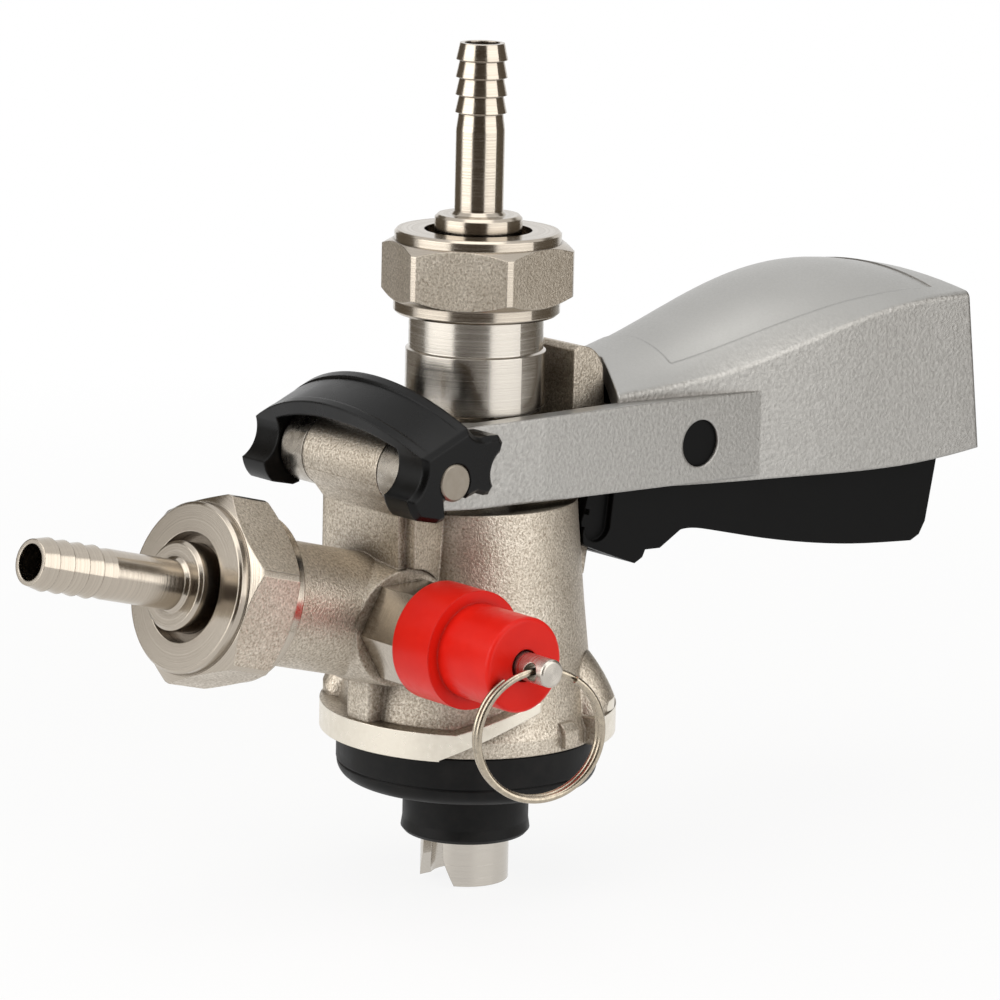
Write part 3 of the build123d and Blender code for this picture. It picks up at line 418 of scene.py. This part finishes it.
def tumbledAcetal(look):
    finish, tree, shader, coords = newFinish(look["name"], {"Base Color": linear(look["colour"]), "IOR": 1.48})
    haze = addNode(
        tree, "ShaderNodeTexNoise", {"Scale": perMetre(look["hazeMm"]), "Detail": 2},
        {"Vector": coords.outputs["Object"]}).outputs["Fac"]
    low, high = look["roughness"]
    gloss = addNode(
        tree, "ShaderNodeMapRange", {**noiseSpread, "To Min": low, "To Max": high}, {"Value": haze}).outputs[0]
    tree.links.new(gloss, shader.inputs["Roughness"])
    return finish


castNickel = blastedNickel(castNickelLook)
nutNickel = blastedNickel(nutNickelLook)
bandNickel = brightMetal(bandLook)
beerNickel = turnedNickel("turned nickel on the beer union", beerPoint, beerAxis)
gasNickel = turnedNickel("turned nickel on the gas union", gasPoint, gasAxis)
reliefNickel = turnedNickel("nickel on the relief valve", reliefPoint, reliefAxis)
probeSteel = turnedSteel(probeSteelLook, beerPoint, beerAxis)
handleAlloy = satinAlloy(handleLook)
eyeAlloy = brightMetal(eyeLook)
leverNylon = mouldedNylon(leverNylonLook)
clipNylon = mouldedNylon(clipNylonLook)
nitrile = nitrileRubber(rubberLook)
redAbs = mouldedAbs(redAbsLook)
wireSteel = brightMetal(wireLook)
pinSteel = brightMetal(pinLook)
pinAlloy = turnedSteel(pullPinLook, reliefPoint, reliefAxis)
acetal = tumbledAcetal(acetalLook)
print("finishes made")


def dress(finish, *names):
    for name in names:
        mesh = nodes[name].data
        mesh.materials.clear()
        mesh.materials.append(finish)


def dressParts(name, finishes, choose):
    mesh = nodes[name].data
    mesh.materials.clear()
    for finish in finishes:
        mesh.materials.append(finish)
    for face in mesh.polygons:
        face.material_index = choose(face.center, face.normal)


# Metres from the axis of the nut, the body or the hinge
machined = {
    "flatDistance": 0.0135, "tolerance": 0.0001, "bandRadius": 0.0234, "bandTop": 0.0095, "eyeRadius": 0.0062,
}
sideways = {"nut": 0.05, "band": 0.3, "eye": 0.5}  # the most that a face may turn to the axis


def dressNut(name, point, axis, turned):
    # Only the six flats are blasted: a flat faces sideways, at the hexagon's own distance from the axis
    def choose(centre, normal):
        outward = centre - point
        outward -= axis * outward.dot(axis)
        onFlat = abs(outward.dot(normal) - machined["flatDistance"]) < machined["tolerance"]
        return 0 if onFlat and abs(normal.dot(axis)) < sideways["nut"] else 1

    dressParts(name, [nutNickel, turned], choose)


def onFlangeBand(centre, normal):
    # The bayonet lugs are machined on their outer face
    outer = math.hypot(centre.x, centre.y) > machined["bandRadius"] and centre.z < machined["bandTop"]
    return 1 if outer and abs(normal.z) < sideways["band"] else 0


def onHingeEye(centre, normal):
    # The eyes are ground smooth around the hinge
    reach = math.hypot(centre.y - hingePoint.y, centre.z - hingePoint.z)
    return 1 if reach < machined["eyeRadius"] and abs(normal.x) < sideways["eye"] else 0


dressParts("body_casting", [castNickel, bandNickel], onFlangeBand)
dressParts("handle_casting", [handleAlloy, eyeAlloy], onHingeEye)
dressNut("gas_nut", gasPoint, gasAxis, gasNickel)
dressNut("beer_nut", beerPoint, beerAxis, beerNickel)
dress(nitrile, "bottom_washer", "shaft_seals", "probe_seal", "gas_gasket", "beer_gasket")
dress(nitrile, "gas_check_valve", "relief_seal")
dress(gasNickel, "gas_tail")
dress(beerNickel, "beer_tail")
dress(reliefNickel, "relief_body")
dress(probeSteel, "probe", "ball_cage")
dress(clipNylon, "hinge_clip")
dress(leverNylon, "trigger_lever", "trigger_pin")
dress(redAbs, "relief_cap")
dress(wireSteel, "split_ring", "relief_spring", "trigger_spring")
dress(pinSteel, "hinge_pin", "drive_pins")
dress(pinAlloy, "pull_pin")
dress(acetal, "check_ball")
print("nodes dressed")

# Camera: level with the middle of the coupler, turned to its relief valve side
cameraPlan = {
    "azimuth": 49, "elevation": 12, "roll": 1.36, "lens": 165.6, "distance": 0.730,
    "nearest": 0.05, "furthest": 50, "aim": (0.00289, 0.00332, 0.03689),
}
azimuth, elevation, roll = (math.radians(cameraPlan[k]) for k in ("azimuth", "elevation", "roll"))
level = math.cos(elevation)
towards = Vector((math.sin(azimuth) * level, -math.cos(azimuth) * level, math.sin(elevation)))
right = Vector((math.cos(azimuth), math.sin(azimuth), 0))
up = towards.cross(right)
turnedRight = right * math.cos(roll) + up * math.sin(roll)
turnedUp = up * math.cos(roll) - right * math.sin(roll)
camera = bpy.data.objects.new("camera", bpy.data.cameras.new("camera"))
bpy.context.scene.collection.objects.link(camera)
place = Matrix((turnedRight, turnedUp, towards)).transposed().to_4x4()
place.translation = Vector(cameraPlan["aim"]) + towards * cameraPlan["distance"]
camera.matrix_world = place
camera.data.lens = cameraPlan["lens"]
camera.data.clip_start = cameraPlan["nearest"]
camera.data.clip_end = cameraPlan["furthest"]
bpy.context.scene.camera = camera

# Studio: a pale floor, softboxes at both sides of the camera and above, and dark flags between them.
# Turns are degrees around the coupler from the camera, to its right.
studio = {"ambient": 0.5, "reach": 0.55, "middle": Vector((0, 0, 0.04)), "lampColour": (1.0, 0.985, 0.96)}
softboxes = {
    # turn and height in degrees, width and tall in metres, brightness
    "left softbox": (-63, 18, 0.54, 0.62, 1.95),
    "right softbox": (54, 18, 0.60, 0.62, 1.3),
    "top softbox": (0, 78, 0.40, 0.40, 1.5),
}
flags = {
    # turn in degrees, then width, lowest and highest level and distance in metres, grey
    "front flag": (-6, 0.38, -0.025, 0.34, 0.33, "#4d443a"),
    "left flag": (-124, 0.36, -0.025, 0.34, 0.33, "#6e665b"),
    "right flag": (112, 0.38, -0.025, 0.34, 0.33, "#6e665b"),
}


def around(turn, height, reach):
    angle = azimuth + math.radians(turn)
    flat = Vector((math.sin(angle), -math.cos(angle), 0))
    rise = math.radians(height)
    return studio["middle"] + flat * reach * math.cos(rise) + Vector((0, 0, reach * math.sin(rise)))


for name, (turn, height, width, tall, brightness) in softboxes.items():
    lamp = bpy.data.lights.new(name, "AREA")
    lamp.shape = "RECTANGLE"
    lamp.size = width
    lamp.size_y = tall
    lamp.energy = brightness * math.pi * width * tall
    lamp.color = studio["lampColour"]
    holder = bpy.data.objects.new(name, lamp)
    bpy.context.scene.collection.objects.link(holder)
    holder.location = around(turn, height, studio["reach"])
    holder.rotation_mode = "QUATERNION"
    holder.rotation_quaternion = (studio["middle"] - holder.location).to_track_quat("-Z", "Y")

for name, (turn, width, low, high, reach, grey) in flags.items():
    # A card that only reflections see
    across = around(turn + 90, 0, width / 2) - studio["middle"]
    foot = around(turn, 0, reach)
    foot.z = 0
    mesh = bpy.data.meshes.new(name)
    places = ((-1, low), (1, low), (1, high), (-1, high))
    corners = [foot + across * side + Vector((0, 0, rise)) for side, rise in places]
    mesh.from_pydata(corners, [], [(0, 1, 2, 3)])
    card = bpy.data.objects.new(name, mesh)
    bpy.context.scene.collection.objects.link(card)
    card.visible_camera = card.visible_diffuse = card.visible_shadow = card.visible_transmission = False
    paint = bpy.data.materials.new(name)
    paint.use_nodes = True
    paint.node_tree.nodes.clear()
    glow = addNode(paint.node_tree, "ShaderNodeEmission", {"Color": linear(grey)})
    addNode(paint.node_tree, "ShaderNodeOutputMaterial", wires={"Surface": glow.outputs[0]})
    mesh.materials.append(paint)

# The floor keeps the coupler's shadow and fades to white around it
floorPlan = {
    "drop": 0.0005, "radius": 4.0, "sides": 96, "fadeStart": 0.12, "fadeEnd": 0.45, "near": 0.87,
    "colour": "#f4f3f1",
}
floorMesh = bpy.data.meshes.new("floor")
floorLevel = cadBox[0].z - floorPlan["drop"]
turns = [t * 2 * math.pi / floorPlan["sides"] for t in range(floorPlan["sides"])]
rim = [(floorPlan["radius"] * math.cos(t), floorPlan["radius"] * math.sin(t), floorLevel) for t in turns]
floorMesh.from_pydata(rim, [], [tuple(range(floorPlan["sides"]))])
floor = bpy.data.objects.new("floor", floorMesh)
bpy.context.scene.collection.objects.link(floor)
floorPaint = bpy.data.materials.new("pale studio floor")
floorPaint.use_nodes = True
tree = floorPaint.node_tree
tree.nodes.clear()
path = addNode(tree, "ShaderNodeLightPath")
seen = addNode(
    tree, "ShaderNodeMath", {"operation": "MAXIMUM"},
    {0: path.outputs["Is Camera Ray"], 1: path.outputs["Is Glossy Ray"]}).outputs[0]
spot = addNode(tree, "ShaderNodeTexCoord").outputs["Object"]
distance = addNode(tree, "ShaderNodeVectorMath", {"operation": "LENGTH"}, {0: spot}).outputs["Value"]
fade = addNode(
    tree, "ShaderNodeMapRange",
    {
        "From Min": floorPlan["fadeStart"], "From Max": floorPlan["fadeEnd"], "To Min": floorPlan["near"],
        "To Max": 1,
    },
    {"Value": distance}).outputs[0]
share = addNode(tree, "ShaderNodeMath", {"operation": "MULTIPLY"}, {0: seen, 1: fade}).outputs[0]
matt = addNode(tree, "ShaderNodeBsdfDiffuse", {"Color": linear(floorPlan["colour"])})
white = addNode(tree, "ShaderNodeEmission", {"Color": (1, 1, 1, 1)})
blend = addNode(
    tree, "ShaderNodeMixShader", wires={0: share, 1: matt.outputs[0], 2: white.outputs[0]})
addNode(tree, "ShaderNodeOutputMaterial", wires={"Surface": blend.outputs[0]})
floorMesh.materials.append(floorPaint)

# The sky lights the coupler softly, and is white where the camera, a reflection or glass shows it
world = bpy.data.worlds.new("studio")
bpy.context.scene.world = world
world.use_nodes = True
tree = world.node_tree
tree.nodes.clear()
path = addNode(tree, "ShaderNodeLightPath")
seen = addNode(
    tree, "ShaderNodeMath", {"operation": "MAXIMUM"},
    {0: path.outputs["Is Camera Ray"], 1: path.outputs["Is Glossy Ray"]}).outputs[0]
seen = addNode(
    tree, "ShaderNodeMath", {"operation": "MAXIMUM"},
    {0: seen, 1: path.outputs["Is Transmission Ray"]}).outputs[0]
strength = addNode(
    tree, "ShaderNodeMapRange", {"To Min": studio["ambient"], "To Max": 1}, {"Value": seen}).outputs[0]
sky = addNode(tree, "ShaderNodeBackground", {"Color": (1, 1, 1, 1)}, {"Strength": strength})
addNode(tree, "ShaderNodeOutputWorld", wires={"Surface": sky.outputs[0]})
bpy.context.scene.view_settings.view_transform = "Standard"
print("studio made")
